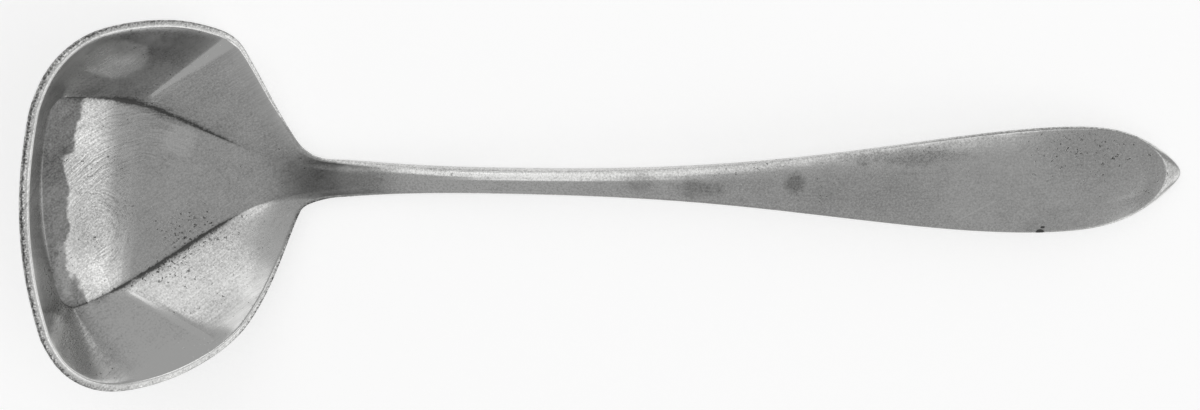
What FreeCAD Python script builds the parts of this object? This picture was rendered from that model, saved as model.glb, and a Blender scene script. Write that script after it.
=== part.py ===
import FreeCAD
import Part
import math
import os

# Cream ladle, forged in one piece: a wide creased bowl on a slender handle with a pointed end.
# Millimetres. The bowl is drawn with its rim level and is then pitched up to meet the handle.
# In the bowl's plan, u runs from the lip towards the handle and v runs across.

# Rim of the bowl, seen square on
bowl_width = 44.8
widest_place = 14.5
lip_radius = 50.0
corner_radius = 11.5
side_radius = 26.5
shoulder_radius = 8.2
shoulder_angle = 61.9
shoulder_apex = 38.5
flare_radius = 4.7
rim_land = 0.75
rim_edge = 0.6
rim_pitch = 34.2

# Neck, where the bowl ends and the handle starts
neck_place = 41.0
neck_width = 4.6
neck_land = 0.35
neck_rise = 4.0
neck_crown = 1.0
neck_thickness = 2.15
neck_flat = 1.4
rim_bend_place = 34.7

# Fan, the flat panel that forms the floor of the bowl, and the creases along its sides
fan_front = 6.8
fan_width = 26.2
fan_bend_place = 18.5
fan_bend_width = 22.6
fan_heel_place = 34.0
fan_heel_width = 4.0
fan_corner_cut = 1.4
fan_bend_radius = 15.0
fan_heel_radius = 10.0
fan_depth = 7.4
floor_bend_place = 16.5
floor_bend_depth = 7.0
floor_bend_softness = 2.5
heel_place = 32.2
heel_depth = 1.85
heel_softness = 0.7
bowl_wall = 1.15
heel_wall = 1.85
underside_grow = 0.4

# Handle, measured from the neck towards the tip. The crest and the widest place of the blade
# keep their lengths to the tip.
handle_length = 99.95
waist_place = 15.2
waist_width = 3.1
waist_thickness = 2.3
crest_length = 44.6
crest_place = handle_length - crest_length
crest_rise = 2.8
tip_droop = 5.05
point_length = 15.6
blade_place = handle_length - point_length
blade_width = 13.15
blade_thickness = 1.5
tip_width = 0.8
tip_thickness = 1.1
handle_edge = 0.7
swell_power = 1.5
point_power = 2.8
point_fullness = 0.9

# Bevel that turns the tip down to its point
bevel_run = 1.7
bevel_depth = 0.8
bevel_spread = 0.35
bevel_reach = 13.9
bevel_back = 9.2

# The handle's root, buried in the neck, and how far the handle stands proud where it leaves it
root_depth = 5.0
root_width = 2.4
root_thickness = 1.3
root_drop = 0.15
root_proud = 0.06
root_overlap = 0.9

# Points in each stretch of a plan curve, and sections in each part of the handle
curve_steps = 6
neck_stations = 3
swell_stations = 8
point_stations = 6

# How finely the resting level is found
settle_tolerance = 0.02
settle_turns = 8


# Plan curves are lists of points (u, v), one list for each stretch between two tangent points.

def arc(centre, radius, start, end):
    turns = [start + (end - start) * i / curve_steps for i in range(curve_steps + 1)]
    return [(centre[0] + radius * math.cos(a), centre[1] + radius * math.sin(a)) for a in turns]


def line(start, end):
    shares = [i / curve_steps for i in range(curve_steps + 1)]
    return [(start[0] + (end[0] - start[0]) * s, start[1] + (end[1] - start[1]) * s) for s in shares]


def heading(start, end):
    return math.atan2(end[1] - start[1], end[0] - start[0])


def meeting(centre_a, reach_a, centre_b, reach_b):
    # The point at the given distances from two centres, on the left of the way from a to b
    span = math.dist(centre_a, centre_b)
    along = (span ** 2 + reach_a ** 2 - reach_b ** 2) / (2 * span)
    aside = math.sqrt(reach_a ** 2 - along ** 2)
    turn = heading(centre_a, centre_b)
    return (centre_a[0] + along * math.cos(turn) - aside * math.sin(turn),
            centre_a[1] + along * math.sin(turn) + aside * math.cos(turn))


def rim_outline(inset, neck_half):
    # Lip, corner, side, shoulder, the straight to the neck, the flare and the neck, on the +v side
    lip = (lip_radius, 0.0)
    side = (widest_place, bowl_width / 2 - side_radius)
    corner = meeting(side, side_radius - corner_radius, lip, lip_radius - corner_radius)
    lean = math.radians(90 - shoulder_angle)
    normal = (math.cos(lean), math.sin(lean))
    reach = shoulder_apex * normal[0]
    out = reach - shoulder_radius - side[0] * normal[0] - side[1] * normal[1]
    up = math.sqrt((side_radius - shoulder_radius) ** 2 - out ** 2)
    shoulder = (side[0] + out * normal[0] - up * normal[1], side[1] + out * normal[1] + up * normal[0])
    hollow = flare_radius + inset
    flare_v = neck_half + hollow
    flare = ((reach - inset + hollow - flare_v * normal[1]) / normal[0], flare_v)
    lip_end = heading(lip, corner)
    side_start, side_end = heading(side, corner), heading(side, shoulder)
    shoulder_round = arc(shoulder, shoulder_radius - inset, side_end, lean)
    flare_round = arc(flare, hollow, lean - math.pi, -math.pi / 2)
    return {
        "lip": arc(lip, lip_radius - inset, 2 * math.pi - lip_end, lip_end),
        "sides": [
            arc(corner, corner_radius - inset, lip_end, side_start),
            arc(side, side_radius - inset, side_start, side_end),
            shoulder_round,
            line(shoulder_round[-1], flare_round[0]),
            flare_round,
            line(flare_round[-1], (neck_place, neck_half)),
        ],
    }


def clipped(before, corner, after, cut):
    # The short straight that cuts one corner of a chain of straight lines
    turn_in, turn_out = heading(before, corner), heading(corner, after)
    return line((corner[0] - cut * math.cos(turn_in), corner[1] - cut * math.sin(turn_in)),
                (corner[0] + cut * math.cos(turn_out), corner[1] + cut * math.sin(turn_out)))


def rounded(before, corner, after, radius):
    # The arc that rounds one corner of a chain of straight lines
    turn_in, turn_out = heading(before, corner), heading(corner, after)
    turn = turn_out - turn_in
    side = math.copysign(1.0, turn)
    back = radius * math.tan(abs(turn) / 2)
    start = (corner[0] - back * math.cos(turn_in), corner[1] - back * math.sin(turn_in))
    centre = (start[0] - side * radius * math.sin(turn_in), start[1] + side * radius * math.cos(turn_in))
    return arc(centre, radius, turn_in - side * math.pi / 2, turn_out - side * math.pi / 2)


def fan_outline(grow):
    # Front line, then corner, side, bend, the straight to the heel, the heel and the neck
    middle = (fan_front - grow, 0.0)
    corner = (fan_front - grow, fan_width / 2 + grow)
    bend = (fan_bend_place, fan_bend_width / 2 + grow)
    heel = (fan_heel_place, fan_heel_width / 2 + grow)
    neck = (neck_place, neck_flat / 2)
    corner_clip = clipped(middle, corner, bend, fan_corner_cut)
    bend_round = rounded(corner, bend, heel, fan_bend_radius)
    heel_round = rounded(bend, heel, neck, fan_heel_radius)
    front_end = corner_clip[0]
    return {
        "lip": line((front_end[0], -front_end[1]), front_end),
        "sides": [
            corner_clip,
            line(corner_clip[-1], bend_round[0]),
            bend_round,
            line(bend_round[-1], heel_round[0]),
            heel_round,
            line(heel_round[-1], neck),
        ],
    }


# Lengthwise profiles: straight stretches through the given places, joined by soft bends.

def bend_rise(past, softness):
    return max(past, 0.0) + softness * math.log1p(math.exp(-abs(past) / softness))


def profile(places, softness):
    slopes = [(b[1] - a[1]) / (b[0] - a[0]) for a, b in zip(places, places[1:])]

    def height(u):
        z = places[0][1] + slopes[0] * (u - places[0][0])
        for place, soft, before, after in zip(places[1:], softness, slopes, slopes[1:]):
            z += (after - before) * bend_rise(u - place[0], soft)
        return z

    return height


floor_softness = (floor_bend_softness, heel_softness)
# Heights at the neck are real ones on the pitched bowl, so they are taller here
upright = 1 / math.cos(math.radians(rim_pitch))
rim_height = profile([(0.0, 0.0), (rim_bend_place, 0.0), (neck_place, neck_rise)], (heel_softness,))
inner_floor = profile([
    (fan_front, -fan_depth),
    (floor_bend_place, -floor_bend_depth),
    (heel_place, -heel_depth),
    (neck_place, neck_rise + neck_crown * upright),
], floor_softness)
outer_floor = profile([
    (fan_front, -fan_depth - bowl_wall),
    (floor_bend_place, -floor_bend_depth - bowl_wall),
    (heel_place, -heel_depth - heel_wall),
    (neck_place, neck_rise + (neck_crown - neck_thickness) * upright),
], floor_softness)


def rim_underside(u):
    return rim_height(u) - rim_edge


# Bowl

def lifted(points, height, side=1):
    places = [FreeCAD.Vector(u, side * v, height(u)) for u, v in points]
    curve = Part.BSplineCurve()
    curve.interpolate(places)
    return curve.toShape()


def lifted_outline(outline, height):
    return {
        "lip": lifted(outline["lip"], height),
        "left": [lifted(stretch, height) for stretch in outline["sides"]],
        "right": [lifted(stretch, height, -1) for stretch in outline["sides"]],
    }


def band(a, b):
    # The skin between two outlines that have the same stretches
    faces = [Part.makeRuledSurface(a["lip"], b["lip"])]
    for hand in ("left", "right"):
        faces += [Part.makeRuledSurface(p, q) for p, q in zip(a[hand], b[hand])]
    return faces


def panel(outline):
    # The skin that spans an outline, straight across from side to side
    return [Part.makeRuledSurface(p, q) for p, q in zip(outline["left"], outline["right"])]


def neck_end(*outlines):
    corners = [o["left"][-1].Vertexes[-1].Point for o in outlines]
    corners += [FreeCAD.Vector(p.x, -p.y, p.z) for p in reversed(corners)]
    return Part.Face(Part.makePolygon(corners + corners[:1]))


def bowl():
    neck_half = neck_width / 2
    rim = rim_outline(0.0, neck_half)
    lip_top = lifted_outline(rim, rim_height)
    lip_low = lifted_outline(rim, rim_underside)
    inside = lifted_outline(rim_outline(rim_land, neck_half - neck_land), rim_height)
    crease = lifted_outline(fan_outline(0.0), inner_floor)
    ridge = lifted_outline(fan_outline(underside_grow), outer_floor)
    skin = panel(crease) + band(crease, inside) + band(inside, lip_top)
    skin += band(lip_top, lip_low) + band(lip_low, ridge) + panel(ridge)
    skin.append(neck_end(crease, inside, lip_top, lip_low, ridge))
    shell = Part.makeShell(skin)
    shell.sewShape()
    solid = Part.makeSolid(shell)
    solid.translate(FreeCAD.Vector(-neck_place, 0, -neck_rise))
    solid.rotate(FreeCAD.Vector(), FreeCAD.Vector(0, 1, 0), rim_pitch)
    return solid


# Handle

def eased(share):
    return share * share * (3 - 2 * share)


def blade_share(x):
    return min(max((x - waist_place) / (blade_place - waist_place), 0.0), 1.0)


def point_share(x):
    return max((x - blade_place) / (handle_length - blade_place), 0.0)


def half_width(x):
    if x < waist_place:
        back = (waist_place - x) / waist_place
        return (waist_width + (neck_width - waist_width) * back ** 2) / 2
    swell = eased(blade_share(x) ** swell_power)
    full = waist_width + (blade_width - waist_width) * swell
    point = (1 - point_share(x) ** point_power) ** point_fullness
    return (tip_width + (full - tip_width) * point) / 2


def edge_level(x):
    if x < crest_place:
        return crest_rise * (1 - ((crest_place - x) / crest_place) ** swell_power)
    return crest_rise - tip_droop * ((x - crest_place) / (handle_length - crest_place)) ** 2


def thickness(x):
    if x < waist_place:
        return neck_thickness + (waist_thickness - neck_thickness) * x / waist_place
    thinned = waist_thickness + (blade_thickness - waist_thickness) * eased(blade_share(x))
    return thinned + (tip_thickness - blade_thickness) * point_share(x)


def section(x, half, level, depth):
    # A crowned strip: a bowed top and belly with a narrow flat edge at each side
    crown, low = (depth - handle_edge) / 2, level - handle_edge
    top_left, top_right = FreeCAD.Vector(x, -half, level), FreeCAD.Vector(x, half, level)
    low_left, low_right = FreeCAD.Vector(x, -half, low), FreeCAD.Vector(x, half, low)
    top = Part.Arc(top_left, FreeCAD.Vector(x, 0, level + crown), top_right)
    belly = Part.Arc(low_right, FreeCAD.Vector(x, 0, low - crown), low_left)
    edges = [top, Part.LineSegment(top_right, low_right), belly, Part.LineSegment(low_left, top_left)]
    return Part.Wire([edge.toShape() for edge in edges])


def stations(start, end, count):
    return [start + (end - start) * i / count for i in range(1, count + 1)]


def handle():
    root = section(-root_depth, root_width / 2, -root_drop, root_thickness)
    start = section(-root_overlap, neck_width / 2 + root_proud, root_proud, neck_thickness + 2 * root_proud)
    places = stations(0.0, waist_place, neck_stations)
    places += stations(waist_place, blade_place, swell_stations)
    places += stations(blade_place, handle_length, point_stations)
    sections = [section(x, half_width(x), edge_level(x), thickness(x)) for x in places]
    buried = Part.makeLoft([root, start], True, True)
    return Part.makeLoft([start] + sections, True).fuse(buried)


def ellipse(reach, spread, height):
    curve = Part.Ellipse(FreeCAD.Vector(0, 0, height), reach, spread)
    return Part.Wire([curve.toShape()])


def tip_bevel():
    # What is cut off the tip: a block less the oval cone that is left standing
    reach, spread = bevel_reach, blade_width / 2 + bevel_spread
    above, below = tip_thickness, 2 * tip_thickness
    slope = bevel_run / bevel_depth
    cone = Part.makeLoft([
        ellipse(reach - above * slope, spread - above * slope * bevel_spread, above),
        ellipse(reach + below * slope, spread + below * slope * bevel_spread, -below),
    ], True)
    block = Part.makeBox(handle_length, 2 * blade_width, above + below,
                         FreeCAD.Vector(reach - bevel_back, -blade_width, -below))
    tool = block.cut(cone)
    droop = math.degrees(math.atan(2 * tip_droop / (handle_length - crest_place)))
    tool.translate(FreeCAD.Vector(-reach, 0, 0))
    tool.rotate(FreeCAD.Vector(), FreeCAD.Vector(0, 1, 0), droop)
    top = edge_level(handle_length - bevel_run)
    tool.translate(FreeCAD.Vector(handle_length - bevel_run, 0, top))
    return tool


def turned(point, pitch):
    x = point.x * math.cos(pitch) - point.z * math.sin(pitch)
    z = point.x * math.sin(pitch) + point.z * math.cos(pitch)
    return FreeCAD.Vector(x, point.y, z)


def settled(shape):
    # Pitched until the lowest place under the bowl and the one under the tip are on one level,
    # and then moved over the origin
    points = shape.tessellate(settle_tolerance)[0]
    pitch = 0.0
    for attempt in range(settle_turns):
        lying = [turned(point, pitch) for point in points]
        heel = min((p for p in lying if p.x < waist_place), key=lambda p: p.z)
        tip = min((p for p in lying if p.x > crest_place), key=lambda p: p.z)
        pitch -= heading((heel.x, heel.z), (tip.x, tip.z))
    middle = (min(p.x for p in lying) + max(p.x for p in lying)) / 2
    shape.rotate(FreeCAD.Vector(), FreeCAD.Vector(0, 1, 0), -math.degrees(pitch))
    shape.translate(FreeCAD.Vector(-middle, 0, -heel.z))
    return shape


os.makedirs("parts", exist_ok=True)
ladle = bowl().fuse(handle()).cut(tip_bevel())
ladle = settled(ladle)
ladle.exportStep("parts/ladle.step")
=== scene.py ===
import math

import bmesh
import bpy
from mathutils import Matrix, Vector


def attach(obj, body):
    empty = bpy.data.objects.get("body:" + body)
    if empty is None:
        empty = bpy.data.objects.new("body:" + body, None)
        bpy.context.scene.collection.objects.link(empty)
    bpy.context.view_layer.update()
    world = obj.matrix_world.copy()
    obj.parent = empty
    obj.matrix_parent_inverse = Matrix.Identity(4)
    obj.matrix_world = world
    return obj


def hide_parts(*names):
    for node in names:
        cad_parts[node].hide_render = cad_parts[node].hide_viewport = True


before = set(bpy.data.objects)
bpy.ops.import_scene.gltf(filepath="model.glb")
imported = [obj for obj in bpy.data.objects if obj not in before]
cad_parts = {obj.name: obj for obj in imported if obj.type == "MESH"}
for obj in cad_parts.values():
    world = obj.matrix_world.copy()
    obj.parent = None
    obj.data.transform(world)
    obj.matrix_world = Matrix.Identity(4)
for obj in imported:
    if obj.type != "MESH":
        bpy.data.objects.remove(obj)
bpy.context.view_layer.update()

mm = 0.001


# Small helpers for how one value follows another

def eased(share):
    return share * share * (3 - 2 * share)


def clamped(value):
    return min(max(value, 0.0), 1.0)


def ramp(at, start, length):
    # 0 up to the start, 1 past the length, and an eased rise between them
    return eased(clamped((at - start) / length))


def laidOut(places, at):
    # Straight between the given places
    for a, b in zip(places, places[1:]):
        if at <= b[0]:
            break
    return a[1] + (b[1] - a[1]) * clamped((at - a[0]) / (b[0] - a[0]))


# Sizes in millimetres. In the bowl's own plan, u runs from the lip to the handle and v across,
# and its rim is level until the bowl is pitched up. A run is where a change starts and how long
# it takes. A value by hand is for the +Y side at 1 and the other side at -1.
bowl = {
    "width": 44.77,
    "widestPlace": 14.5,
    "lipRadius": 50.0,
    "cornerRadius": 11.5,
    "sideRadius": 26.5,
    "shoulderRadius": 8.2,
    "shoulderAngle": 61.9,
    "shoulderApex": 38.5,
    "flareRadius": 4.7,
    "land": 0.75,          # flat top of the rim, and how much of it there is at the lip and along
    "landShares": {1: ((0.0, 1.45), (4.0, 1.3), (10.0, 1.0), (26.0, 1.0), (31.0, 0.7), (41.0, 0.7)),
                   -1: ((0.0, 1.45), (4.0, 1.35), (10.0, 1.35), (26.0, 1.25), (31.0, 0.9), (41.0, 0.7))},
    "edge": 0.6,           # height of the rim's outer side
    "rimRounding": 0.08,
    # small swells and hollows of the real outline: place, reach and how far out
    "swells": {1: ((22.9, 4.1, 0.34), (30.6, 3.6, 0.75)),
               -1: ((32.6, 2.2, 1.85), (26.5, 2.5, -0.2), (35.7, 1.4, -0.85))},
    "pitch": 34.2,
    "neckPlace": 41.0,
    "neckWidth": 4.6,
    "neckLand": 0.35,
    "neckRise": 4.0,
    "neckCrown": 0.375,
    "neckThickness": 1.76,
    "neckEdge": 1.0,       # height of the upright sides at the neck
    "crownRun": (35.0, 6.0),
    "rimBend": 34.7,
    "floorDepth": 7.4,
    "floorBend": (16.5, 7.0),
    "heel": (32.2, 1.85),
    "flat": (37.6, 1.95),  # from here on the neck is crowned
    "floorSoftness": 2.3,
    "heelSoftness": 0.9,
    "neckSoftness": 1.2,
    "wall": 1.15,
    "heelWall": 1.85,
    "wallHollow": 0.22,    # how far the folded sides sag between crease and rim
    "hollowRun": (22.0, 10.0),
    "skirtSag": (0.25, 0.05),   # the same outside, at the bowl and at the neck
    "keelSag": 0.1,
}

# The fan-shaped floor, as half widths at places along the bowl
fan = {
    "front": 6.1,
    "frontRadius": 36.0,
    "outline": {1: [(6.1, 13.1), (18.3, 11.33), (34.0, 2.0), (41.0, 0.7)],
                -1: [(6.1, 13.75), (13.0, 13.0), (19.5, 10.1), (25.5, 6.2), (32.5, 2.6), (41.0, 0.7)]},
    "softness": {1: (1.7, 1.6), -1: (1.3, 1.3, 1.3, 1.3)},
    "cornerCut": 1.5,
    "fold": {1: (18.7, 20.2), -1: (15.5, 17.0)},   # the short stretch of crease where the side folds
    "foldBack": (0.86, 0.98),   # where along the rim's side that fold ends, on the -Y side
    "foldTurn": 0.55,           # share of the next stretch that the shoulder takes there
    "flare": 31.0,
    "neck": 37.0,
    "creaseHalf": 0.36,    # half of the crease's rounding
    "grow": 0.4,           # the ridge outside stands this far out
    "growLength": 6.0,
}


# Curves in the plan of the bowl

def arcStretch(centre, radius, start, end):
    def at(share):
        turn = start + (end - start) * share
        return (centre[0] + radius * math.cos(turn), centre[1] + radius * math.sin(turn))
    return at


def lineStretch(start, end):
    def at(share):
        return (start[0] + (end[0] - start[0]) * share, start[1] + (end[1] - start[1]) * share)
    return at


def heading(start, end):
    return math.atan2(end[1] - start[1], end[0] - start[0])


def meeting(centreA, reachA, centreB, reachB):
    span = math.dist(centreA, centreB)
    along = (span ** 2 + reachA ** 2 - reachB ** 2) / (2 * span)
    aside = math.sqrt(reachA ** 2 - along ** 2)
    turn = heading(centreA, centreB)
    return (centreA[0] + along * math.cos(turn) - aside * math.sin(turn),
            centreA[1] + along * math.sin(turn) + aside * math.cos(turn))


def rimStretches(inset, neckHalf):
    # Lip arc, then corner, side, shoulder, straight, flare and neck on the +v side
    lip = (bowl["lipRadius"], 0.0)
    side = (bowl["widestPlace"], bowl["width"] / 2 - bowl["sideRadius"])
    corner = meeting(side, bowl["sideRadius"] - bowl["cornerRadius"],
                     lip, bowl["lipRadius"] - bowl["cornerRadius"])
    lean = math.radians(90 - bowl["shoulderAngle"])
    normal = (math.cos(lean), math.sin(lean))
    reach = bowl["shoulderApex"] * normal[0]
    out = reach - bowl["shoulderRadius"] - side[0] * normal[0] - side[1] * normal[1]
    up = math.sqrt((bowl["sideRadius"] - bowl["shoulderRadius"]) ** 2 - out ** 2)
    shoulder = (side[0] + out * normal[0] - up * normal[1], side[1] + out * normal[1] + up * normal[0])
    hollow = bowl["flareRadius"] + inset
    flareV = neckHalf + hollow
    flare = ((reach - inset + hollow - flareV * normal[1]) / normal[0], flareV)
    lipEnd = heading(lip, corner)
    sideStart, sideEnd = heading(side, corner), heading(side, shoulder)
    shoulderArc = arcStretch(shoulder, bowl["shoulderRadius"] - inset, sideEnd, lean)
    flareArc = arcStretch(flare, hollow, lean - math.pi, -math.pi / 2)
    return {
        "front": arcStretch(lip, bowl["lipRadius"] - inset, math.pi, lipEnd),
        "sides": [
            arcStretch(corner, bowl["cornerRadius"] - inset, lipEnd, sideStart),
            arcStretch(side, bowl["sideRadius"] - inset, sideStart, sideEnd),
            shoulderArc,
            lineStretch(shoulderArc(1), flareArc(0)),
            flareArc,
            lineStretch(flareArc(1), (bowl["neckPlace"], neckHalf)),
        ],
    }


def softBend(past, softness):
    return max(past, 0.0) + softness * math.log1p(math.exp(-abs(past) / softness))


def bent(places, softness):
    # Straight runs through the places, joined by soft bends
    slopes = [(b[1] - a[1]) / (b[0] - a[0]) for a, b in zip(places, places[1:])]

    def at(u):
        z = places[0][1] + slopes[0] * (u - places[0][0])
        for place, soft, before, after in zip(places[1:], softness, slopes, slopes[1:]):
            z += (after - before) * softBend(u - place[0], soft)
        return z
    return at


fanHalf = {hand: bent(fan["outline"][hand], fan["softness"][hand]) for hand in (1, -1)}


def fanStretches(grow, hand):
    # The front line bows towards the lip, and a short cut leads round its corner to the crease
    def bowed(v):
        return fan["front"] - grow + v * v / (2 * fan["frontRadius"])
    cornerV = fanHalf[hand](fan["front"] + 2 * fan["cornerCut"]) + grow - fan["cornerCut"]
    clipStart = (bowed(cornerV), cornerV)
    clipEnd = (clipStart[0] + fan["cornerCut"], fanHalf[hand](clipStart[0] + fan["cornerCut"]) + grow)

    def run(start, end):
        def at(share):
            u = start + (end - start) * share
            wider = grow * clamped((bowl["neckPlace"] - u) / fan["growLength"])
            return (u, fanHalf[hand](u) + wider)
        return at

    def frontAt(share):
        # From the middle of the front line to the corner
        v = clipStart[1] * share
        return (bowed(v), v)
    foldStart, foldEnd = fan["fold"][hand]
    return {
        "front": frontAt,
        "sides": [
            lineStretch(clipStart, clipEnd),
            run(clipEnd[0], foldStart),
            run(foldStart, foldEnd),
            run(foldEnd, fan["flare"]),
            run(fan["flare"], fan["neck"]),
            run(fan["neck"], bowl["neckPlace"]),
        ],
    }


def turnedBack(rails, hand):
    # One fold meets the rim in its shoulder, the other just before it
    if hand > 0:
        return rails
    side, shoulder, straight = rails[1:4]
    start, end = fan["foldBack"]
    turn = fan["foldTurn"]

    def beyond(share):
        return shoulder(share / turn) if share < turn else straight((share - turn) / (1 - turn))
    return [rails[0], lambda share: side(start * share),
            lambda share: side(start + (end - start) * share), beyond] + rails[4:]


def nudged(point, hand):
    u, v = point
    for place, reach, out in bowl["swells"][hand]:
        v += out * math.exp(-((u - place) / reach) ** 2) * clamped(v / 3)
    return (u, v)


fanPlan = {hand: fanStretches(0.0, hand) for hand in (1, -1)}
ridgePlan = {hand: fanStretches(fan["grow"], hand) for hand in (1, -1)}
neckHalf = bowl["neckWidth"] / 2
rimPlan = rimStretches(0.0, neckHalf)
landPlan = rimStretches(bowl["land"], neckHalf - bowl["neckLand"])


# Heights along the bowl, above its level rim

upright = 1 / math.cos(math.radians(bowl["pitch"]))
crownTop = bowl["neckRise"] + bowl["neckCrown"] * upright
keelLow = bowl["neckRise"] + (bowl["neckCrown"] - bowl["neckThickness"]) * upright
bendPlace, bendDepth = bowl["floorBend"]
heelPlace, heelDepth = bowl["heel"]
floorSoftness = (bowl["floorSoftness"], bowl["heelSoftness"])
rimHeight = bent([
    (0.0, 0.0),
    (bowl["rimBend"], 0.0),
    (bowl["neckPlace"], bowl["neckRise"]),
], (bowl["heelSoftness"],))
floorHeight = bent([
    (fan["front"], -bowl["floorDepth"]),
    (bendPlace, -bendDepth),
    (heelPlace, -heelDepth),
    bowl["flat"],
    (bowl["neckPlace"], crownTop),
], floorSoftness + (bowl["neckSoftness"],))
keelHeight = bent([
    (fan["front"], -bowl["floorDepth"] - bowl["wall"]),
    (bendPlace, -bendDepth - bowl["wall"]),
    (heelPlace, -heelDepth - bowl["heelWall"]),
    (bowl["neckPlace"], keelLow),
], floorSoftness)
pitched = Matrix.Rotation(math.radians(bowl["pitch"]), 3, "Y")
bowlUp = pitched @ Vector((0, 0, 1))


def placed(u, v, z):
    # From the bowl's level plan to the pitched bowl
    return pitched @ Vector((u - bowl["neckPlace"], v, z - bowl["neckRise"]))


# Where the silver is worn, rubbed bright or tarnished, and where shade and highlights are painted, for
# the finish to
# read: shares of each mark, and runs along u in the bowl or along x on the handle
wear = {
    "neckFilm": 0.52,                # film of tarnish round the neck
    "neckRun": (31.0, 6.5),
    "shankRun": (-0.5, 7.0),
    "shankPolish": 0.24,             # the shank behind it is cleaner
    "polishRun": (4.0, 6.0),
    # tarnish film on the wings; on the +Y wing it is also painted shade
    "wingFilmAndShade": {1: 0.47, -1: -0.24},
    "cornerFilm": {1: 0.0, -1: 0.5},
    "cornerRun": (9.9, 1.6),
    "panelFilm": {1: 0.05, -1: -0.08},
    "foldRun": (-0.5, 1.5),          # from the start of the fold
    "frontFilm": 0.08,
    "frontRun": (1.5, 4.0),          # from the fan's front line
    "frontFade": {1: 0.45, -1: 0.6},
    "lipFilm": (0.07, 0.18),         # at the middle of the front wall, and more at its ends
    # painted highlight along the fan's front line
    "lipHighlightMark": -0.6,
    # painted shade in the crease, with some dirt
    "creaseDirtAndShade": (0.3, 0.7),        # everywhere, and more where the crease runs darker
    "creaseDarkRun": (9.0, 9.0),
    "creaseDarkLoss": 0.6,
    "creaseDarkLossRun": (26.0, 6.0),
    "creaseRun": (26.0, 9.0),
    "rubAndHighlight": {1: 0.75, -1: 1.0},       # inner edge of the rim, lighter: rubbed, with a painted highlight
    "rubHighlightRun": (28.0, 6.0),
    # dirt and painted shade on the rim's flat top and outer edge, along the rim
    "landDirtAndShade": {1: ((9.0, 1.0), (16.0, 0.75), (24.0, 0.4), (30.0, 0.15)),
                 -1: ((4.0, 1.0), (9.0, 0.6), (14.0, 0.1), (26.0, 0.05), (30.0, 1.0), (36.0, 1.2))},
    "bladeEdgeDirt": 0.5,
    "bladeEdgeRun": (62.0, 14.0),
    # painted highlight along the -Y edge of the blade
    "bladeEdgeHighlight": -0.8,
    # painted highlight on the bevel at the tip
    "tipBevelHighlight": -1.1,
    "tipRubHighlight": 0.3,
    # from the crease up the wall, for each strip: dirt with painted shade, film with painted shade, and
    # rub with a painted highlight
    "wallStrips": ((0.3, 0.95, 0.0), (0.0, 1.0, 0.0), (0.0, 1.15, 0.0), (0.0, 1.3, 0.6)),
    # inner edge of the rim's flat top, lighter: rubbed, with a painted highlight
    "edgeRubHighlight": 1.1,
    # round the rim's outer edge: share of the turn, and dirt with painted shade
    "rimTurns": ((0.35, 0.45), (0.7, 1.4), (1.0, 1.7)),
    # the rim's outer side: dirt and painted shade
    "lowDirtAndShade": 1.2,
}


def bowlWear(u, hand, rimU):
    neck = wear["neckFilm"] * ramp(u, *wear["neckRun"])
    foldStart, foldLength = wear["foldRun"]
    frontStart, frontLength = wear["frontRun"]
    wing = 1 - ramp(u, fan["fold"][hand][0] + foldStart, foldLength)
    front = 1 - ramp(u, fan["front"] + frontStart, frontLength)
    corner = 1 - ramp(u, *wear["cornerRun"])
    wingFilmAndShade = wear["wingFilmAndShade"][hand] + wear["cornerFilm"][hand] * corner
    fade = 1 - front * wear["frontFade"][hand]
    wallFilm = wing * wingFilmAndShade + (1 - wing) * wear["panelFilm"][hand]
    creaseDarker = ramp(u, *wear["creaseDarkRun"]) * (1 - wear["creaseDarkLoss"] * ramp(u, *wear["creaseDarkLossRun"]))
    dirtAndShade, moreDirtAndShade = wear["creaseDirtAndShade"]
    return {
        # the crease mark is painted shade with some dirt; along the fan's front line it is a painted
        # highlight
        "crease mark": (dirtAndShade + moreDirtAndShade * creaseDarker) * (1 - ramp(u, *wear["creaseRun"])),
        "land mark": laidOut(wear["landDirtAndShade"][hand], rimU),
        "rub mark": wear["rubAndHighlight"][hand] * (1 - ramp(u, *wear["rubHighlightRun"])),
        "wall film": wallFilm * fade + max(front * wear["frontFilm"], neck),
        "floor film": neck,
    }


# Columns: the rails that one place of the outline has, from the floor over the rim to the underside

def bowlColumn(floorPoint, landPoint, rimPoint, ridgePoint, hand=1):
    u = floorPoint[0]
    crowned = ramp(u, *bowl["crownRun"])
    edge = bowl["edge"] + (bowl["neckEdge"] * upright - bowl["edge"]) * crowned
    wide = laidOut(bowl["landShares"][hand], rimPoint[0])
    landPoint = [r + (l - r) * wide for r, l in zip(rimPoint, landPoint)]
    rimPoint, landPoint = nudged(rimPoint, hand), nudged(landPoint, hand)
    # Near the neck the folded section turns into the crowned one of the handle
    share = floorPoint[1] / max(rimPoint[1], 0.1)
    crown = crowned * max(floorHeight(u) - rimHeight(u), 0.0)
    hollow = bowl["wallHollow"] * (1 - ramp(u, *bowl["hollowRun"]))
    bowlSag, neckSag = bowl["skirtSag"]
    column = {
        "crease": placed(u, hand * floorPoint[1], floorHeight(u)),
        "land": placed(landPoint[0], hand * landPoint[1], rimHeight(landPoint[0])),
        "rim": placed(rimPoint[0], hand * rimPoint[1], rimHeight(rimPoint[0])),
        "low": placed(rimPoint[0], hand * rimPoint[1], rimHeight(rimPoint[0]) - edge),
        "ridge": placed(ridgePoint[0], hand * ridgePoint[1], keelHeight(ridgePoint[0])),
        "bulge": bowlUp * (crown * (1 - share) ** 2 / 4 - hollow),
        "skirt": bowlUp * (-bowlSag * (1 - crowned) - neckSag * crowned),
        "rise": bowlUp * (crown * share ** 2),
        "keel": bowlUp * (-bowl["keelSag"] * crowned),
        "round": (bowlUp * -bowl["rimRounding"] * (1 - crowned)
                  + Vector((0, 0, -handle["rounding"] * crowned))),
    }
    column.update(bowlWear(u, hand, rimPoint[0]))
    return column


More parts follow.
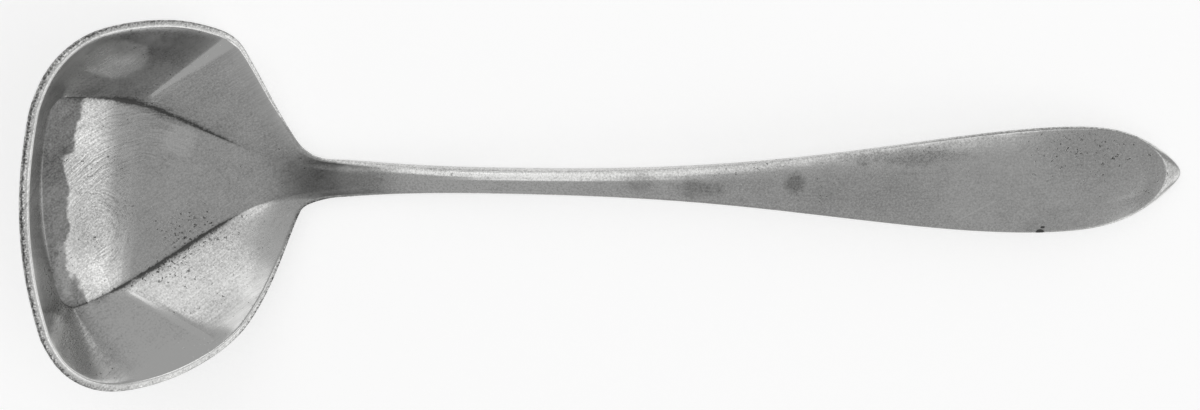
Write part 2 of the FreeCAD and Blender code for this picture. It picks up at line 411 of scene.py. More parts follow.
# Handle, from the neck to the tip
handle = {
    "length": 99.85,
    "waist": 15.2,
    "waistWidth": 3.1,
    "waistThickness": 2.3,
    "crest": 55.35,
    "crestRise": 2.8,
    "tipDroop": 5.05,
    "blade": 84.35,
    "bladeWidth": 13.15,
    "bladeThickness": 1.5,
    "tipWidth": 0.8,
    "tipThickness": 1.1,
    "edge": 0.7,           # height of the upright sides at the blade, and what it is along the shank
    "edges": ((0.0, 1.0), (9.0, 1.25), (30.0, 1.3), (48.0, 1.1), (66.0, 0.75), (84.0, 0.7)),
    "swellPower": 1.5,
    "pointPower": 2.8,
    "pointFullness": 0.9,
    "rounding": 0.22,      # top edge
    "flatShare": 0.32,     # share of the top face between the wall strips at the neck
    "flatGrowth": (0.2, 40.0),
    "faceReach": 13.8,     # oval end of the top face, past the widest place
    "faceHalf": 6.925,
    "faceTurn": 42.0,      # angle on that oval where the sides end and the end row starts
    "bevelSlope": 0.42,
    "pointEdge": 0.22,
    "pointPinch": (0.55, 8),
    "pointRounding": 0.04,
    "endShare": 0.52,      # the last row of the top face: its width, and how far it bows
    "endBow": 1.1,
}
faceEnd = handle["blade"] + handle["faceReach"] * math.cos(math.radians(handle["faceTurn"]))


def bladeShare(x):
    return clamped((x - handle["waist"]) / (handle["blade"] - handle["waist"]))


def pointShare(x):
    return max((x - handle["blade"]) / (handle["length"] - handle["blade"]), 0.0)


def halfWidth(x):
    if x < handle["waist"]:
        back = (handle["waist"] - x) / handle["waist"]
        return (handle["waistWidth"] + (bowl["neckWidth"] - handle["waistWidth"]) * back ** 2) / 2
    swell = eased(bladeShare(x) ** handle["swellPower"])
    full = handle["waistWidth"] + (handle["bladeWidth"] - handle["waistWidth"]) * swell
    point = (1 - min(pointShare(x), 1.0) ** handle["pointPower"]) ** handle["pointFullness"]
    return (handle["tipWidth"] + (full - handle["tipWidth"]) * point) / 2


def pointPlace(y):
    # Place along the handle where its pointed end is 2 y wide
    share = clamped((2 * abs(y) - handle["tipWidth"]) / (handle["bladeWidth"] - handle["tipWidth"]))
    past = (1 - share ** (1 / handle["pointFullness"])) ** (1 / handle["pointPower"])
    return handle["blade"] + (handle["length"] - handle["blade"]) * past


def faceHalf(x):
    # Half width of the top face, inside the rounded edge and the bevel at the end
    straight = halfWidth(x) - handle["rounding"]
    past = (x - handle["blade"]) / handle["faceReach"]
    if past <= 0:
        return straight
    return min(straight, handle["faceHalf"] * math.sqrt(max(1 - past * past, 0.0)))


def edgeLevel(x):
    rise, crest = handle["crestRise"], handle["crest"]
    if x < crest:
        return rise * (1 - ((crest - x) / crest) ** handle["swellPower"])
    return rise - handle["tipDroop"] * ((x - crest) / (handle["length"] - crest)) ** 2


def thickness(x):
    neck, waist, blade = bowl["neckThickness"], handle["waistThickness"], handle["bladeThickness"]
    if x < handle["waist"]:
        return neck + (waist - neck) * x / handle["waist"]
    thinned = waist + (blade - waist) * eased(bladeShare(x))
    return thinned + (handle["tipThickness"] - blade) * pointShare(x)


def edgeDepth(x):
    return laidOut(handle["edges"], x)


def crownHeight(x):
    return (thickness(x) - edgeDepth(x)) / 2


def shankFilm(x):
    cleaned = wear["shankPolish"] * ramp(x, *wear["polishRun"]) * (1 - bladeShare(x)) ** 2
    return wear["neckFilm"] * (1 - ramp(x, *wear["shankRun"])) - cleaned


def handleColumn(x, hand):
    level, crown, face = edgeLevel(x), crownHeight(x), faceHalf(x)
    half, low = halfWidth(x), level - edgeDepth(x)
    growth, growthLength = handle["flatGrowth"]
    share = handle["flatShare"] + growth * clamped(x / growthLength)
    inner = share * face
    innerCrown = crown * (1 - (inner / half) ** 2)
    faceTop = level + crown * (1 - (face / half) ** 2)
    edgeDirt = wear["bladeEdgeDirt"] * ramp(x, *wear["bladeEdgeRun"])
    return {
        "crease": Vector((x, hand * inner, level + innerCrown)),
        "land": Vector((x, hand * face, faceTop)),
        "rim": Vector((x, hand * half, level)),
        "low": Vector((x, hand * half, low)),
        "ridge": Vector((x, hand * inner, low - innerCrown)),
        "bulge": Vector((0, 0, crown * (1 - share) ** 2 / 4)),
        "skirt": Vector((0, 0, -crown * (1 - share) ** 2 / 4)),
        "rise": Vector((0, 0, crown * share ** 2)),
        "keel": Vector((0, 0, -crown * share ** 2)),
        "round": Vector((0, 0, -handle["rounding"])),
        # dirt on the +Y edge, a painted highlight on the -Y edge
        "land mark": edgeDirt if hand > 0 else wear["bladeEdgeHighlight"],
        "wall film": shankFilm(x),
        "floor film": shankFilm(x),
    }


def tipColumn(turn, t):
    # The end of the handle: the top face ends in an oval, and the bevel runs on to the point
    faceX = handle["blade"] + handle["faceReach"] * math.cos(turn)
    faceY = handle["faceHalf"] * math.sin(turn)
    pinch, pinchPower = handle["pointPinch"]
    outY = faceY * (1 - pinch * math.cos(turn) ** pinchPower)
    outX = pointPlace(outY) if abs(outY) > handle["tipWidth"] / 2 else handle["length"]
    share = handle["endShare"]
    innerX = faceEnd + handle["endBow"] * (1 - t * t)
    innerY = t * share * faceHalf(faceEnd)
    crown = crownHeight(faceEnd)
    innerCrown = crown * (1 - (share * t) ** 2)
    faceTop = edgeLevel(faceX) + crown * (1 - (faceY / halfWidth(faceEnd)) ** 2)
    gap = math.dist((faceX, faceY), (outX, outY))
    low = edgeLevel(outX) - handle["edge"]
    outTop = max(faceTop - handle["bevelSlope"] * gap, low + handle["pointEdge"])
    return {
        "crease": Vector((innerX, innerY, edgeLevel(innerX) + innerCrown)),
        "land": Vector((faceX, faceY, faceTop)),
        "rim": Vector((outX, outY, outTop)),
        "low": Vector((outX, outY, low)),
        "ridge": Vector((innerX, innerY, edgeLevel(innerX) - handle["edge"] - innerCrown)),
        "round": Vector((0, 0, -handle["pointRounding"])),
        "bulge": Vector((0, 0, crown * (1 - share) ** 2 / 4)),
        "skirt": Vector((0, 0, -crown * (1 - share) ** 2 / 4)),
        # painted highlight on the bevel
        "land mark": wear["tipBevelHighlight"] * t * t,
        "rub mark": wear["tipRubHighlight"] * t * t,
    }


# How the ladle lies: pitch of the whole, then its move, as the solid has them
rest = {"pitch": 0.86163, "back": -31.54, "up": 1.52341}


def settled(spot):
    # Pitched and moved as the solid lies, and brought to metres
    turned = Matrix.Rotation(math.radians(-rest["pitch"]), 3, "Y") @ spot
    return (turned + Vector((rest["back"], 0, rest["up"]))) * mm


# How fine the net of faces is: faces across the floor, places of the columns back from the end of
# the top face and then along the handle, and shares of each stretch of bowl
net = {
    "across": 8,
    "tipSteps": (0.0, 2.2, 4.6, 7.2, 10.4),
    "handlePlaces": (80.5, 76.0, 71.0, 66.0, 61.0, 56.0, 51.0, 46.0, 41.0, 36.0, 31.0, 26.5, 22.0, 18.0,
                     14.0, 10.5, 7.5, 5.0, 3.0),
    "stretchShares": (
        (0.0, 0.24, 0.43, 0.62, 0.81),
        (0.0, 0.25, 0.5, 0.75),
        (0.0, 0.2, 0.4, 0.6, 0.8),
        (0.0, 0.25, 0.5, 0.75),
        (0.0, 0.2, 0.4, 0.6, 0.8),
        (0.0, 0.45),
    ),
    "frontHalf": 13.0,
    "wallEnd": 0.3,        # last strip below the rim's flat top, and first and last of the outside
    "skirtEnds": (0.4, 1.1),
    "keelSupport": 1.0,
    "levels": 2,           # subdivision
}
strips = len(wear["wallStrips"])


def floorShares(half, support=None):
    # Places across the floor, from 0 to 1, with a close pair inside each crease
    support = support or fan["creaseHalf"]
    close = min(support / (2 * max(half, 0.01)), 0.11)
    cells = net["across"] - 2
    return [0.0] + [close + (1 - 2 * close) * i / cells for i in range(cells + 1)] + [1.0]


def wallShares(reach, first, last):
    close, far = min(first / reach, 0.28), 1 - min(last / reach, 0.25)
    return [close + (far - close) * i / (strips - 1) for i in range(strips)]


def sideColumns(hand):
    # From the tip to the bowl's front corner
    columns = [handleColumn(faceEnd - step, hand) for step in net["tipSteps"]]
    columns += [handleColumn(x, hand) for x in net["handlePlaces"]]
    sides = list(zip(fanPlan[hand]["sides"], turnedBack(landPlan["sides"], hand),
                     turnedBack(rimPlan["sides"], hand), ridgePlan[hand]["sides"]))
    for stretch, places in reversed(list(zip(sides, net["stretchShares"]))):
        for share in reversed(places):
            columns.append(bowlColumn(*[rail(share) for rail in stretch], hand))
    return columns


def frontColumns():
    columns = []
    middle, ends = wear["lipFilm"]
    for share in floorShares(net["frontHalf"])[1:-1]:
        hand = 1 if share >= 0.5 else -1
        rails = (fanPlan[hand]["front"], landPlan["front"], rimPlan["front"], ridgePlan[hand]["front"])
        column = bowlColumn(*[rail(abs(2 * share - 1)) for rail in rails], hand)
        # painted highlight along the front line
        column["crease mark"] = wear["lipHighlightMark"]
        column["wall film"] = middle + ends * (1 - 2 * share) ** 6
        columns.append(column)
    return columns


def tipColumns():
    turn = math.radians(handle["faceTurn"])
    places = [-1 + 2 * i / net["across"] for i in range(1, net["across"])]
    return [tipColumn(t * turn, t) for t in places]


# The mesh: one sheet for floor and top face, its outline drawn out over the rim and under

def spanned(a, b, bulge, share):
    return a.lerp(b, share) + bulge * (4 * share * (1 - share))


def extrudedLoop(bm, loop):
    edges = [bm.edges.get((loop[i - 1], loop[i])) for i in range(len(loop))]
    made = bmesh.ops.extrude_edge_only(bm, edges=edges)["geom"]
    older = set(loop)
    partner = {}
    for vert in made:
        if isinstance(vert, bmesh.types.BMVert):
            for edge in vert.link_edges:
                if edge.other_vert(vert) in older:
                    partner[edge.other_vert(vert)] = vert
    return [partner[vert] for vert in loop]


def sheet(bm, left, right, rail, rise, support=None):
    # A grid whose rows run across from one side to the other
    rows, across = len(left), net["across"]
    made = bmesh.ops.create_grid(bm, x_segments=across, y_segments=rows - 1, size=1.0)["verts"]
    made = sorted(made, key=lambda vert: (round(vert.co.y, 5), round(vert.co.x, 5)))
    table = [made[i * (across + 1):(i + 1) * (across + 1)] for i in range(rows)]
    for row, a, b in zip(table, left, right):
        half = (a[rail] - b[rail]).length / 2
        for vert, share in zip(row, floorShares(half, support)):
            vert.co = spanned(b[rail], a[rail], a[rise], share)
    return table


def outline(table):
    # Loop round a sheet: up the left side, across the front, down the right, across the tip
    left = [row[-1] for row in table]
    right = [row[0] for row in table]
    return left + table[-1][-2:0:-1] + right[::-1] + table[0][1:-1]


def bowFront(table):
    # The rows behind the fan's front line bow with it
    ends = (table[-1][0].co, table[-1][-1].co)
    for i in range(1, net["across"]):
        bow = table[-1][i].co - ends[0].lerp(ends[1], i / net["across"])
        for row, share in ((-2, 1.0), (-3, 0.95), (-4, 0.55), (-5, 0.25), (-6, 0.08)):
            table[row][i].co += bow * share


def bowTip(table, tip, rail):
    for i in range(1, net["across"]):
        bow = tip[i - 1][rail].x - table[0][0].co.x
        for row, share in ((1, 0.45), (2, 0.12)):
            table[row][i].co.x += bow * share


def makeLadle():
    left, right = sideColumns(1), sideColumns(-1)
    front, tip = frontColumns(), tipColumns()
    columns = left + front[::-1] + right[::-1] + tip

    bm = bmesh.new()
    marks = {name: bm.verts.layers.float.new(name) for name in ("crease", "land", "filmAndShade", "floor")}
    top = sheet(bm, left, right, "crease", "rise")
    for row, a, b in zip(top, left, right):
        for vert in row:
            vert[marks["filmAndShade"]] = (a["floor film"] + b["floor film"]) / 2
            vert[marks["floor"]] = 1.0
    loop = outline(top)
    for vert, column in zip(loop, columns):
        vert.co = column["crease"]
        vert[marks["crease"]] = column.get("crease mark", 0.0)
        vert[marks["filmAndShade"]] = column.get("floor film", 0.0)
    bowFront(top)
    bowTip(top, tip, "crease")

    def drawn(place, crease=0.0, land=0.0, filmAndShade=0.0, rubAndHighlight=0.0, inside=0.0):
        # Draws the loop out by one strip of faces; the floor mark is 1 on top, 0.5 on a wall
        fresh = extrudedLoop(bm, loop)
        for vert, column in zip(fresh, columns):
            vert.co = place(column)
            vert[marks["crease"]] = crease * column.get("crease mark", 0.0)
            vert[marks["land"]] = land * column.get("land mark", 0.0) - rubAndHighlight * column.get("rub mark", 0.0)
            vert[marks["filmAndShade"]] = filmAndShade * column.get("wall film", 0.0)
            vert[marks["floor"]] = inside
        return fresh

    def onStrip(start, end, bulge, step, ends):
        # Places of one strip between two rails
        def at(column):
            share = wallShares((column[end] - column[start]).length, *ends)[step]
            return spanned(column[start], column[end], column[bulge], share)
        return at

    def roundEdge(turn):
        return lambda column: (column["land"].lerp(column["rim"], math.sin(turn))
                               + column["round"] * (1 - math.cos(turn)))

    for step, (dirtAndShade, filmAndShade, rubAndHighlight) in enumerate(wear["wallStrips"]):
        strip = onStrip("crease", "land", "bulge", step, (fan["creaseHalf"], net["wallEnd"]))
        loop = drawn(strip, crease=dirtAndShade, filmAndShade=filmAndShade, rubAndHighlight=rubAndHighlight, inside=0.5)
    loop = drawn(lambda column: column["land"], rubAndHighlight=wear["edgeRubHighlight"], inside=0.5)
    for share, dirtAndShade in wear["rimTurns"]:
        loop = drawn(roundEdge(share * math.pi / 2), land=dirtAndShade)
    loop = drawn(lambda column: column["low"], land=wear["lowDirtAndShade"])
    for step in range(strips):
        loop = drawn(onStrip("low", "ridge", "skirt", step, net["skirtEnds"]))
    loop = drawn(lambda column: column["ridge"])

    under = sheet(bm, left, right, "ridge", "keel", net["keelSupport"])
    for vert, column in zip(outline(under), columns):
        vert.co = column["ridge"]
    bowTip(under, tip, "ridge")
    bmesh.ops.remove_doubles(bm, verts=bm.verts[:], dist=0.0005)
    for vert in bm.verts:
        vert.co = settled(vert.co)
    bmesh.ops.recalc_face_normals(bm, faces=bm.faces[:])

    mesh = bpy.data.meshes.new("ladle-silver")
    bm.to_mesh(mesh)
    bm.free()
    piece = bpy.data.objects.new("ladle-silver", mesh)
    bpy.context.scene.collection.objects.link(piece)
    for face in mesh.polygons:
        face.use_smooth = True
    smooth = piece.modifiers.new("Smooth", "SUBSURF")
    smooth.levels = smooth.render_levels = net["levels"]
    print("ladle mesh:", len(mesh.vertices), "points,", len(mesh.polygons), "faces")
    return piece


ladle = makeLadle()
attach(ladle, "root")
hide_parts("ladle")


finish = {
    "silver": (0.80, 0.80, 0.79, 1),
    # the dark colour serves tarnish and painted shade
    "tarnishAndShade": (0.10, 0.10, 0.098, 1),
    "polish": 0.14,          # roughness of the bare metal
    "haze": 0.25,            # what tarnish adds to it
    "streaks": 0.08,         # what the slanting scratches add
    "wave": 0.00003,         # heights in metres: hand-worked unevenness, scratches and pits
    "scratch": 0.000004,
    "pit": 0.00002,
    # noises: scale, detail and roughness
    "clouds": (130.0, 4.0, 0.6),
    "patches": (420.0, 3.0, 0.65),
    "speckle": (4200.0, 2.0, 0.7),
    "pitting": (2500.0, 2.0, 0.7),
    "ragged": (260.0, 3.0, 0.6),
    "waves": (160.0, 2.0, 0.5),
    "wander": (210.0, 2.0, 0.6),
    # scratches: angle to the handle, width and length of a line in millimetres
    "lengthways": (0, 0.16, 4.0),
    "slanting": (33, 0.18, 3.5),
    "crossing": (-48, 0.2, 2.5),
    # arcs on the floor: centre and width of a line in millimetres, and lines to a radian
    "arcs": ((-55.6, -5.5, 0), 0.2, 2.6),
    "swirl": ((-62.2, -4.2, 0), 0.16, 1.8),
    # where they lie, by distance in metres and by angle: start, full, end, and where that fade starts
    "arcReach": (0.006, 0.010, 0.0175, 0.015),
    "arcAngle": (0.9, 1.6, 2.9, 2.5),
    "swirlReach": (0.0013, 0.0026, 0.0066, 0.0048),
    "swirlAngle": (1.7, 1.1),
    "arcCalm": -0.85,        # under the painted front shade the arcs are weaker
    # how much tarnish each thing brings, or takes away below 0; in the creases and the front strip this
    # is also painted shade, at the lip a painted highlight
    "base": 0.22,
    "cloudy": 0.14,
    "patchy": 0.08,
    "dirtAndShade": 0.7,
    # painted highlight along the fan's front line
    "lipHighlight": -0.3,
    "creaseShade": 0.22,
    # painted shade of the front strip
    "frontShade": 0.54,
    "lineGrain": 0.42,
    "speckleGrain": 0.85,
    "arcGrain": 0.55,
    "swirlGrain": 0.35,
    "evenGrain": 0.22,
    "black": 0.55,
    # places in millimetres: centre, reach, amount, and softness of the edge
    "spots": [
        ((-57.7, 17.4, 10.1), (3.8, 3.0, 9.0), -0.19, 0.12),   # rubbed place on the far wing
        ((-51.1, 5.7, 3.9), (2.0, 2.2, 2.5), -0.16, 0.25),     # faint round bloom on the floor
        ((-62.2, -9.8, 8.5), (2.2, 3.4, 5.0), -0.07, 0.35),
        ((-61.4, -2.3, 7.9), (2.6, 4.5, 4.0), 0.1, 0.35),
        ((-64.6, -8.4, 10.0), (1.2, 3.5, 4.0), -0.16, 0.35),
        ((46.3, 0.0, 4.4), (8.0, 7.0, 3.0), -0.08, 0.35),
        ((63.4, -2.5, 2.1), (2.2, 2.2, 2.0), 0.12, 0.35),
        ((-58.1, -1.0, 6.4), (1.0, 6.0, 3.0), 0.13, 0.35),
        ((3.3, 0.6, 4.2), (1.6, 1.2, 2.0), 0.22, 0.6),         # soft stains along the shank
        ((10.2, -0.2, 4.8), (2.3, 1.3, 2.0), 0.36, 0.6),
        ((21.6, 0.4, 5.6), (1.1, 1.1, 2.0), 0.42, 0.5),
        ((35.5, 3.6, 5.4), (6.5, 0.9, 2.0), 0.3, 0.6),
        ((56.5, 3.3, 3.2), (5.5, 3.0, 3.0), 0.09, 0.6),        # duller places on the blade
        ((31.0, -1.0, 5.6), (6.0, 2.5, 3.0), 0.06, 0.6),
        ((-45.2, -15.8, 5.5), (4.2, 2.6, 5.0), 0.18, 0.35),    # and on the near side of the bowl
        ((-41.3, -12.0, 3.5), (2.0, 4.0, 4.0), 0.14, 0.35),
    ],
    "nicks": [
        ((51.2, -6.35, 3.8), (0.5, 0.35, 1.0), 0.9, 0.2),      # two small ones at the blade's edge
        ((51.5, -5.75, 3.9), (0.3, 0.16, 1.0), 0.9, 0.2),
    ],
    # a long scratch, painted shade along a crease, and painted highlights where a side of the bowl folds:
    # ends, width at each, amount
    "lines": [
        ((40.8, -4.6), (45.3, -2.1), (0.2, 0.3), -0.16),
        ((-58.0, 11.7), (-50.0, 7.5), (0.8, 0.6), 0.2),
        ((-54.4, 11.6), (-45.4, 18.7), (0.5, 1.7), -0.5),
        ((-57.3, -12.4), (-48.3, -17.9), (0.6, 0.7), -0.5),
    ],
    # places where black pits gather: centre and reach
    "pitted": [
        ((56.5, 3.2, 3.4), (6.5, 3.6, 3.0)),
        ((-53.0, -10.3, 4.6), (4.0, 1.6, 4.0)),
        ((-50.0, -5.6, 3.6), (4.5, 3.0, 3.0)),
        ((-65.5, -8.5, 12.5), (1.6, 5.0, 2.5)),
    ],
    # ragged edge of the painted front shade, where the bright part of the floor ends, in metres: x at its
    # middle, that y, its bow, how far it strays, and half the width of the edge
    "frontShadeEdge": (-0.0644, -0.002, 15.5, 0.004, 0.00025),
}


def silverMaterial():
    material = bpy.data.materials.new("worn-silver")
    material.use_nodes = True
    tree = material.node_tree
    shader = tree.nodes["Principled BSDF"]

    def node(kind, wires, **settings):
        made = tree.nodes.new("ShaderNode" + kind)
        for name, value in settings.items():
            setattr(made, name, value)
        for socket, source in dict(wires).items():
            if isinstance(source, bpy.types.NodeSocket):
                tree.links.new(source, made.inputs[socket])
            else:
                made.inputs[socket].default_value = source
        return made

    def calc(operation, *values, clamp=False):
        return node("Math", enumerate(values), operation=operation, use_clamp=clamp).outputs[0]

    def times(a, b):
        return calc("MULTIPLY", a, b)

    def plus(a, b, amount):
        # a, and b by that amount
        return calc("MULTIPLY_ADD", b, amount, a)

    def less(a, b):
        return calc("SUBTRACT", a, b)

    def vectorCalc(operation, *values):
        return node("VectorMath", enumerate(values), operation=operation)

    def noise(vector, scale, detail, rough):
        wires = {"Vector": vector, "Scale": scale, "Detail": detail, "Roughness": rough}
        return node("TexNoise", wires).outputs["Fac"]

    def between(value, low, high, start=0.0, end=1.0):
        wires = {"Value": value, "From Min": low, "From Max": high, "To Min": start, "To Max": end}
        return node("MapRange", wires, interpolation_type="SMOOTHSTEP").outputs["Result"]

    def within(value, start, full, end, fading):
        return times(between(value, start, full), between(value, end, fading))

    def blend(share, a, b):
        return node("Mix", {0: share, 2: a, 3: b}).outputs[0]

    def mark(name):
        return node("Attribute", {}, attribute_name=name).outputs["Fac"]

    spot = tree.nodes.new("ShaderNodeTexCoord").outputs["Object"]
    crease, land, filmAndShade, floor = [mark(name) for name in ("crease", "land", "filmAndShade", "floor")]
    place = node("SeparateXYZ", {0: spot}).outputs
    along, aside = place["X"], place["Y"]
    inBowl = between(along, -0.026, -0.034)
    topSide = between(floor, 0.1, 0.4)
    onFloor = between(floor, 0.775, 0.95)

    def brushed(turn, fine, length):
        # Noise drawn out into lines that run at an angle to the handle
        wires = {"Vector": spot, "Rotation": (0, 0, math.radians(turn)),
                 "Scale": (length * mm, fine * mm, length * mm)}
        return noise(node("Mapping", wires, vector_type="TEXTURE").outputs[0], 1.0, 2.0, 0.6)

    def rings(centre, fine, turns):
        # Arcs round a place that wander a little, how far from it, and at what angle
        offset = vectorCalc("SUBTRACT", spot, [c * mm for c in centre]).outputs[0]
        flat = vectorCalc("MULTIPLY", offset, (1, 1, 0)).outputs[0]
        reach = plus(vectorCalc("LENGTH", flat).outputs["Value"], noise(spot, *finish["wander"]), 0.0016)
        reach = less(reach, 0.0008)
        split = node("SeparateXYZ", {0: flat}).outputs
        angle = calc("ARCTAN2", split["Y"], split["X"])
        wires = {"X": times(reach, 1 / (fine * mm)), "Y": times(angle, turns)}
        return noise(node("CombineXYZ", wires).outputs[0], 1.0, 1.0, 0.6), reach, angle

    # Clouds of thin tarnish, and fine speckle
    clouds = noise(spot, *finish["clouds"])
    patchy = noise(spot, *finish["patches"])
    speckle = noise(spot, *finish["speckle"])
    ragged = times(less(patchy, 0.5), 1.6)

    def oval(centre, reach, soft=0.35):
        # 1 inside an oval place and 0 outside it, with an edge that the patches eat into
        offset = vectorCalc("SUBTRACT", spot, [c * mm for c in centre]).outputs[0]
        scaled = vectorCalc("DIVIDE", offset, [r * mm for r in reach]).outputs[0]
        away = plus(vectorCalc("LENGTH", scaled).outputs["Value"], ragged, soft / 0.35)
        return between(away, 0.95 + soft, 0.95 - soft)

    def lightLine(start, end, widths):
        # A line whose left edge is crisp and whose other edge is soft, seen from its start
        span = math.dist(start, end)
        ahead = ((end[0] - start[0]) / span, (end[1] - start[1]) / span)
        flat = vectorCalc("SUBTRACT", spot, (start[0] * mm, start[1] * mm, 0)).outputs[0]
        gone = vectorCalc("DOT_PRODUCT", flat, (*ahead, 0)).outputs["Value"]
        off = vectorCalc("DOT_PRODUCT", flat, (ahead[1], -ahead[0], 0)).outputs["Value"]
        wide = between(gone, 0.0, span * mm, widths[0] * mm, widths[1] * mm)
        off = calc("DIVIDE", off, wide)
        body = times(between(off, -0.15, 0.15), between(off, 1.15, 0.6))
        started = between(gone, -0.3 * mm, 0.5 * mm)
        going = between(gone, (span + 1.0) * mm, (span - 0.5) * mm)
        return times(body, times(started, going))

    # Black pits
    pitting = plus(noise(spot, *finish["pitting"]), clouds, 0.25)
    pitting = plus(pitting, crease, 0.06)
    for centre, reach in finish["pitted"]:
        pitting = plus(pitting, oval(centre, reach), 0.1)
    pits = between(pitting, 0.81, 0.87)

    # Painted shade: a dark strip along the front of the floor, in place of a darker reflection there
    frontX, frontY, bow, stray, halfEdge = finish["frontShadeEdge"]
    fromMiddle = less(aside, frontY)
    frontEdge = calc("MULTIPLY_ADD", times(fromMiddle, fromMiddle), bow, frontX)
    strayed = plus(along, less(noise(spot, *finish["ragged"]), 0.5), stray)
    paintedFrontShade = times(between(less(strayed, frontEdge), halfEdge, -halfEdge), onFloor)

    # Polishing scratches: along the handle, slanting in the bowl, and two sets of arcs on its floor
    lengthways = brushed(*finish["lengthways"])
    slanting = brushed(*finish["slanting"])
    crossing = brushed(*finish["crossing"])
    arcs, arcReach, arcAngle = rings(*finish["arcs"])
    swirl, swirlReach, swirlAngle = rings(*finish["swirl"])
    arcPlace = times(within(arcReach, *finish["arcReach"]), within(arcAngle, *finish["arcAngle"]))
    arcPlace = times(arcPlace, calc("MULTIPLY_ADD", paintedFrontShade, finish["arcCalm"], 1.0))
    swirlPlace = within(swirlReach, *finish["swirlReach"])
    swirlPlace = times(swirlPlace, between(calc("ABSOLUTE", swirlAngle), *finish["swirlAngle"]))
    bowlLines = blend(swirlPlace, blend(arcPlace, slanting, arcs), swirl)
    bladeLines = calc("MULTIPLY_ADD", less(lengthways, 0.5), 0.4, 0.5)
    lineColour = blend(inBowl, bladeLines, bowlLines)

    # How much tarnish lies at each place, with painted shade and painted highlights
    tarnishAndShade = calc("MULTIPLY_ADD", between(clouds, 0.3, 0.75), finish["cloudy"], finish["base"])
    tarnishAndShade = plus(tarnishAndShade, between(patchy, 0.45, 0.8), finish["patchy"])
    # painted shade in the creases, with some dirt
    dirtAndShade = times(between(crease, 0.25, 0.85), between(patchy, 0.2, 0.6, 0.6, 1.1))
    tarnishAndShade = plus(tarnishAndShade, dirtAndShade, finish["dirtAndShade"])
    # painted highlight along the fan's front line
    tarnishAndShade = plus(tarnishAndShade, between(crease, -0.05, -0.5), finish["lipHighlight"])
    tarnishAndShade = plus(tarnishAndShade, times(between(crease, 0.0, 0.35), patchy), finish["creaseShade"])
    for start, end, widths, amount in finish["lines"]:
        tarnishAndShade = plus(tarnishAndShade, lightLine(start, end, widths), amount)
    # the film is tarnish, and on the +Y wing also painted shade
    tarnishAndShade = plus(tarnishAndShade, filmAndShade, between(clouds, 0.2, 0.7, 0.85, 1.05))
    # the rim's dark outer band is painted shade with speckled dirt; at the tip and on the -Y edge of the
    # blade this mark is a painted highlight
    tarnishAndShade = plus(tarnishAndShade, land, between(speckle, 0.35, 0.65, 0.08, 0.5))
    for centre, reach, amount, soft in finish["spots"]:
        tarnishAndShade = plus(tarnishAndShade, times(oval(centre, reach, soft), topSide), amount)
    for centre, reach, amount, soft in finish["nicks"]:
        tarnishAndShade = plus(tarnishAndShade, oval(centre, reach, soft), amount)
    tarnishAndShade = plus(tarnishAndShade, paintedFrontShade, finish["frontShade"])
    # the grain is weaker under a film of tarnish and painted shade, and under the painted front shade
    filmed = calc("MAXIMUM", times(filmAndShade, 1.6), times(paintedFrontShade, 0.6))
    worked = calc("SUBTRACT", 1.0, filmed, clamp=True)
    grain = times(less(speckle, 0.5), finish["speckleGrain"])
    grain = plus(grain, less(lineColour, 0.5), finish["lineGrain"])
    tarnishAndShade = plus(tarnishAndShade, grain, worked)
    tarnishAndShade = plus(tarnishAndShade, times(less(arcs, 0.5), arcPlace), finish["arcGrain"])
    tarnishAndShade = plus(tarnishAndShade, times(less(swirl, 0.5), swirlPlace), finish["swirlGrain"])
    tarnishAndShade = plus(tarnishAndShade, less(speckle, 0.5), finish["evenGrain"])
    tarnishAndShade = calc("MULTIPLY_ADD", pits, finish["black"], tarnishAndShade, clamp=True)
    # tarnish and painted shade darken the silver, and painted highlights lighten it
    colours = {0: tarnishAndShade, 6: finish["silver"], 7: finish["tarnishAndShade"]}
    tree.links.new(node("Mix", colours, data_type="RGBA").outputs[2], shader.inputs["Base Color"])
    shader.inputs["Metallic"].default_value = 1.0

    haze = calc("MULTIPLY_ADD", tarnishAndShade, finish["haze"], finish["polish"])
    haze = plus(haze, less(slanting, 0.5), finish["streaks"])
    tree.links.new(haze, shader.inputs["Roughness"])

    # Height: hand-worked waves, then scratches, then pits
    waves = node("Bump", {"Height": noise(spot, *finish["waves"]), "Distance": finish["wave"]})
    lines = calc("ADD", plus(lineColour, crossing, 0.15), times(speckle, 0.35))
    scratches = node("Bump", {"Height": lines, "Distance": finish["scratch"], "Normal": waves.outputs[0]})
    dents = node("Bump", {"Height": less(1.0, pits), "Distance": finish["pit"],
                          "Normal": scratches.outputs[0]})
    tree.links.new(dents.outputs[0], shader.inputs["Normal"])
    print("silver done:", len(tree.nodes), "nodes")
    return material


ladle.data.materials.append(silverMaterial())


# Sizes and places in metres, apart from the camera's
studio = {
    "floor": (0.8, 0.8, 0.8, 1),
    "floorSize": 3.0,
    "floorRoughness": 0.9,
    "floorGlow": 0.5,
    "world": 0.4,
    # place, what it faces, size, and what a mirror would show of it
    "lamps": {
        "far": ((-0.55, 1.1, 0.75), (-0.05, 0, 0), (1.3, 1.1), 0.58),
        "top": ((0.1, 0.42, 1.2), (0, 0.2, 0), (1.1, 0.7), 0.6),
        "side": ((1.943, -0.892, 1.789), (-0.06, 0, 0), (3.5, 0.41), 0.9),
        "low": ((1.11, -0.6, 0.49), (0.06, 0, 0), (1.35, 0.44), 0.8),
    },
    "cameraPlace": (30.1, 134.55, 424.13),   # millimetres, in the handle's own frame
    "cameraTilt": -18.0,
    "sensor": 36.0,
    "lens": 111.78,
}


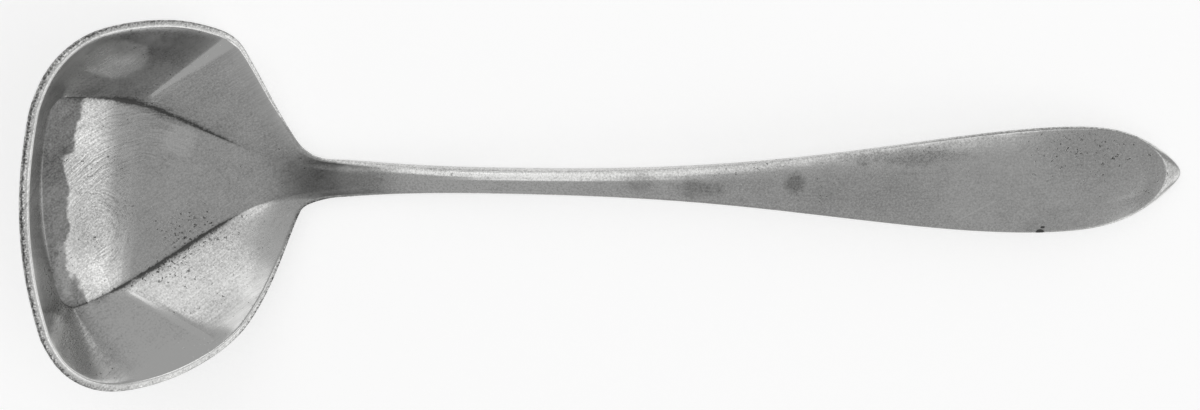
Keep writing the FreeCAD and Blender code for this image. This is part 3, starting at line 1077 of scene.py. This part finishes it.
def makeFloor():
    bm = bmesh.new()
    bmesh.ops.create_grid(bm, x_segments=1, y_segments=1, size=studio["floorSize"])
    mesh = bpy.data.meshes.new("table")
    bm.to_mesh(mesh)
    bm.free()
    floor = bpy.data.objects.new("table", mesh)
    bpy.context.scene.collection.objects.link(floor)
    material = bpy.data.materials.new("white-table")
    material.use_nodes = True
    nodes, links = material.node_tree.nodes, material.node_tree.links
    shader = nodes["Principled BSDF"]
    shader.inputs["Base Color"].default_value = studio["floor"]
    shader.inputs["Roughness"].default_value = studio["floorRoughness"]
    shader.inputs["Specular IOR Level"].default_value = 0.0
    shader.inputs["Emission Color"].default_value = (1, 1, 1, 1)

    def calc(operation, a, b):
        made = nodes.new("ShaderNodeMath")
        made.operation = operation
        links.new(a, made.inputs[0])
        if isinstance(b, bpy.types.NodeSocket):
            links.new(b, made.inputs[1])
        else:
            made.inputs[1].default_value = b
        return made.outputs[0]

    # It glows for the camera and for what the metal mirrors, and lights nothing
    path = nodes.new("ShaderNodeLightPath").outputs
    seen = calc("MAXIMUM", path["Is Camera Ray"], path["Is Glossy Ray"])
    seen = calc("MAXIMUM", seen, path["Is Transmission Ray"])
    links.new(calc("MULTIPLY", seen, studio["floorGlow"]), shader.inputs["Emission Strength"])
    floor.data.materials.append(material)


def softBox(name, place, aim, size, radiance):
    light = bpy.data.lights.new(name, "AREA")
    light.shape = "RECTANGLE"
    light.size, light.size_y = size
    light.energy = radiance * math.pi * size[0] * size[1]
    lamp = bpy.data.objects.new(name, light)
    lamp.location = place
    lamp.rotation_mode = "QUATERNION"
    lamp.rotation_quaternion = (Vector(place) - Vector(aim)).to_track_quat("Z", "Y")
    bpy.context.scene.collection.objects.link(lamp)


def makeStudio():
    makeFloor()
    world = bpy.context.scene.world or bpy.data.worlds.new("studio")
    bpy.context.scene.world = world
    world.use_nodes = True
    backdrop = world.node_tree.nodes["Background"]
    backdrop.inputs["Color"].default_value = (1, 1, 1, 1)
    backdrop.inputs["Strength"].default_value = studio["world"]
    for name, values in studio["lamps"].items():
        softBox(name, *values)
    print("table and lights done")


def makeCamera():
    # It takes the same rest pitch as the ladle
    data = bpy.data.cameras.new("camera")
    data.sensor_width = studio["sensor"]
    data.lens = studio["lens"]
    camera = bpy.data.objects.new("camera", data)
    pitch = Matrix.Rotation(math.radians(-rest["pitch"]), 4, "Y")
    tilt = Matrix.Rotation(math.radians(studio["cameraTilt"]), 4, "X")
    camera.matrix_world = Matrix.Translation(settled(Vector(studio["cameraPlace"]))) @ (pitch @ tilt)
    bpy.context.scene.collection.objects.link(camera)
    bpy.context.scene.camera = camera
    print("camera done")


makeStudio()
makeCamera()
bpy.context.scene.view_settings.view_transform = "Standard"
